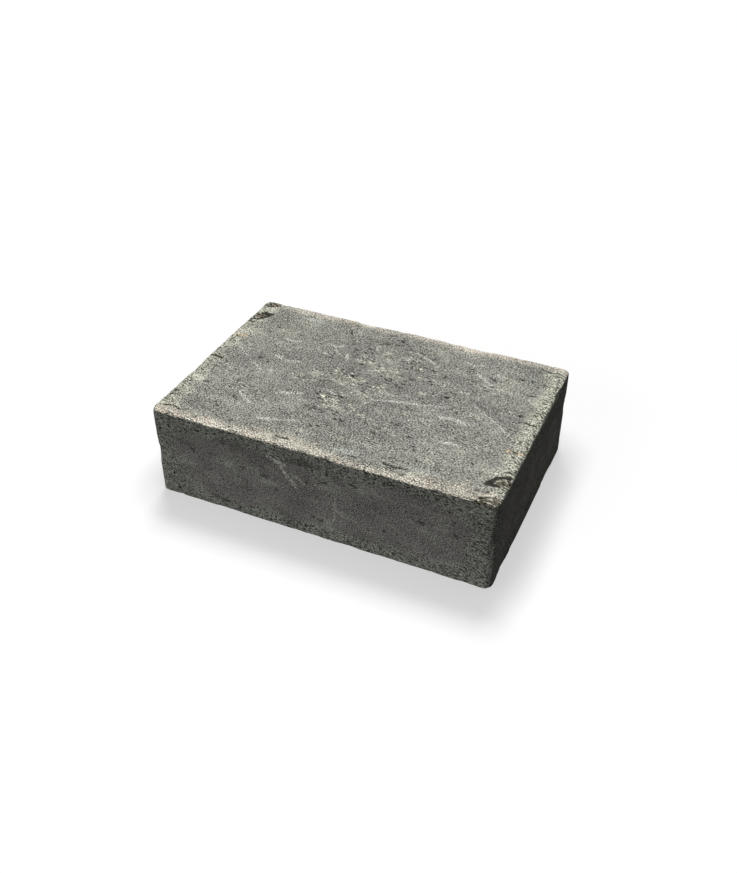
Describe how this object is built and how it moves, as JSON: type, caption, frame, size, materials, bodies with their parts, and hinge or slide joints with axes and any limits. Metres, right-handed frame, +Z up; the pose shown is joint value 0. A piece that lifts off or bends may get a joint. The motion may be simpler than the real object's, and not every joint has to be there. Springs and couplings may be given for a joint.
{
  "type": "concrete paving stone",
  "caption": "Rectangular tumbled concrete paving block with drum-worn arrises, shell-shaped chips and lifted flakes at opposite corners of its top.",
  "frame": {"origin": "centre of the underside, on the ground", "axes": "+X along the length, +Y along the width, away from the face that the picture shows nearest, +Z up through the thickness"},
  "size_m": [0.21, 0.14, 0.06],
  "materials": {
    "concrete": "dry matt grey concrete with fine sand grain, pits and scratches, paler and warmer on its worn arrises"
  },
  "bodies": {
    "root": {"paving_stone": "concrete"}
  },
  "joints": []
}
